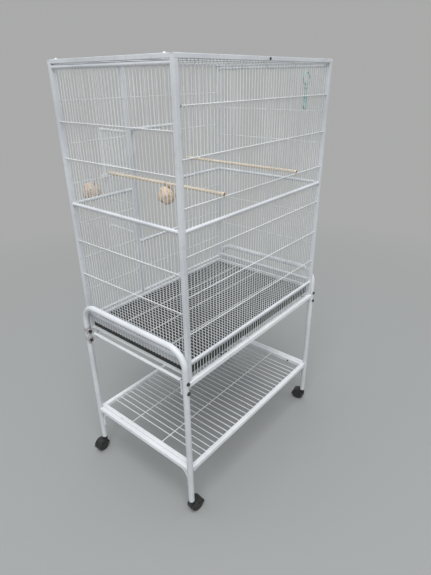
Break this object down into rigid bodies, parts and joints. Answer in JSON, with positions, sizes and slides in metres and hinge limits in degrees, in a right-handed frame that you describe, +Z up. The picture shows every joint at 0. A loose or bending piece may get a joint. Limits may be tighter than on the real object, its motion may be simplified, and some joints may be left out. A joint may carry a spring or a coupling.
{
  "type": "bird cage on stand",
  "caption": "Tall wire flight cage for small birds, with a side-hinged door, slide-out grate and tray, on a rolling tube stand with a lower wire shelf.",
  "frame": {"origin": "on the floor under the middle of the cage", "axes": "+Z up; +X along the long side, to the right for someone facing the door; the door is on the -Y side"},
  "size_m": [0.8218, 0.685, 1.3588],
  "materials": {
    "coated_frame": "pale grey-white powder coat, satin",
    "coated_wire": "pale grey-white powder coat, satin",
    "dark_fastener": "dark plated steel, with rust on a few heads",
    "axle_steel": "bare steel",
    "caster_plastic": "moulded black",
    "tray_plastic": "moulded black",
    "perch_wood": "bare turned dowel",
    "ball_fibre": "dry woven plant strip",
    "charm_plastic": "glossy"
  },
  "bodies": {
    "cage": {"back_rails": "coated_frame", "back_wires": "coated_wire", "caster_sockets": "caster_plastic", "corner_plates": "coated_frame", "corner_posts": "coated_frame", "cross_tubes": "coated_frame", "front_rails": "coated_frame", "front_stiles": "coated_frame", "front_wires_left": "coated_wire", "front_wires_over_door": "coated_wire", "front_wires_right": "coated_wire", "front_wires_under_door": "coated_wire", "grate_runners": "coated_frame", "hinge_pins": "coated_frame", "latch_keeper": "coated_frame", "left_end_rails": "coated_frame", "left_end_wires": "coated_wire", "leg_braces": "coated_frame", "lower_bars": "coated_frame", "perch_left": "perch_wood", "perch_right": "perch_wood", "rail_screws": "dark_fastener", "right_end_rails": "coated_frame", "right_end_wires": "coated_wire", "roof_bars": "coated_frame", "roof_screws": "coated_frame", "roof_wires": "coated_wire", "shelf_frame": "coated_frame", "shelf_screws": "dark_fastener", "shelf_wires": "coated_wire", "stand_bolts": "dark_fastener", "stand_frame_left": "coated_frame", "stand_frame_right": "coated_frame", "stand_nuts": "dark_fastener", "stand_rail_back": "coated_frame", "stand_rail_front": "coated_frame", "tray_runners": "coated_frame"},
    "door": {"door_frame": "coated_frame", "door_wires": "coated_wire", "hinge_leaves": "coated_frame", "latch_plate": "coated_frame"},
    "latch_bolt": {"latch_bolt": "coated_frame"},
    "tray": {"tray": "tray_plastic"},
    "grate": {"grate_frame": "coated_frame", "grate_wires": "coated_wire"},
    "perch_ball": {"perch_ball": "ball_fibre"},
    "front_ball": {"front_ball": "ball_fibre"},
    "hanging_charm": {"hanging_charm": "charm_plastic"},
    "caster_front_left": {"caster_hood_front_left": "caster_plastic", "caster_axle_front_left": "axle_steel"},
    "caster_wheels_front_left": {"caster_wheels_front_left": "caster_plastic"},
    "caster_front_right": {"caster_hood_front_right": "caster_plastic", "caster_axle_front_right": "axle_steel"},
    "caster_wheels_front_right": {"caster_wheels_front_right": "caster_plastic"},
    "caster_back_left": {"caster_hood_back_left": "caster_plastic", "caster_axle_back_left": "axle_steel"},
    "caster_wheels_back_left": {"caster_wheels_back_left": "caster_plastic"},
    "caster_back_right": {"caster_hood_back_right": "caster_plastic", "caster_axle_back_right": "axle_steel"},
    "caster_wheels_back_right": {"caster_wheels_back_right": "caster_plastic"}
  },
  "joints": [
    {"name": "door_swing", "type": "hinge", "parent": "cage", "child": "door", "pos_m": [0.0934, -0.238, 0.9705], "axis": [0, 0, 1], "range_deg": [-86, 58]},
    {"name": "latch_slide", "type": "slide", "parent": "door", "child": "latch_bolt", "axis": [-0.0698, -0.9976, 0], "range_m": [0, 0.013]},
    {"name": "tray_slide", "type": "slide", "parent": "cage", "child": "tray", "axis": [0, -1, 0], "range_m": [0, 0.4]},
    {"name": "grate_slide", "type": "slide", "parent": "cage", "child": "grate", "axis": [0, -1, 0], "range_m": [0, 0.4]},
    {"name": "caster_swivel_front_left", "type": "hinge", "parent": "cage", "child": "caster_front_left", "pos_m": [-0.36635, -0.23015, 0.0463], "axis": [0, 0, 1], "continuous": true},
    {"name": "caster_roll_front_left", "type": "hinge", "parent": "caster_front_left", "child": "caster_wheels_front_left", "pos_m": [-0.38326, -0.23631, 0.021], "axis": [0.342, -0.9397, 0], "continuous": true},
    {"name": "caster_swivel_front_right", "type": "hinge", "parent": "cage", "child": "caster_front_right", "pos_m": [0.36635, -0.23015, 0.0463], "axis": [0, 0, 1], "continuous": true},
    {"name": "caster_roll_front_right", "type": "hinge", "parent": "caster_front_right", "child": "caster_wheels_front_right", "pos_m": [0.38425, -0.22827, 0.021], "axis": [-0.1045, 0.9945, 0], "continuous": true},
    {"name": "caster_swivel_back_left", "type": "hinge", "parent": "cage", "child": "caster_back_left", "pos_m": [-0.36635, 0.23015, 0.0463], "axis": [0, 0, 1], "continuous": true},
    {"name": "caster_roll_back_left", "type": "hinge", "parent": "caster_back_left", "child": "caster_wheels_back_left", "pos_m": [-0.36322, 0.21242, 0.021], "axis": [0.9848, 0.1736, 0], "continuous": true},
    {"name": "caster_swivel_back_right", "type": "hinge", "parent": "cage", "child": "caster_back_right", "pos_m": [0.36635, 0.23015, 0.0463], "axis": [0, 0, 1], "continuous": true},
    {"name": "caster_roll_back_right", "type": "hinge", "parent": "caster_back_right", "child": "caster_wheels_back_right", "pos_m": [0.34842, 0.23172, 0.021], "axis": [-0.0872, -0.9962, 0], "continuous": true},
    {"name": "perch_ball_swing", "type": "hinge", "parent": "cage", "child": "perch_ball", "pos_m": [0.1905, 0.016, 1.0345], "axis": [0, 1, 0], "range_deg": [-25, 25]},
    {"name": "front_ball_swing", "type": "hinge", "parent": "cage", "child": "front_ball", "pos_m": [0.254, -0.22955, 1.028], "axis": [1, 0, 0], "range_deg": [-35, 0]},
    {"name": "charm_swing", "type": "hinge", "parent": "cage", "child": "hanging_charm", "pos_m": [-0.28575, 0.185, 1.351], "axis": [0, 1, 0], "range_deg": [-20, 20]}
  ]
}
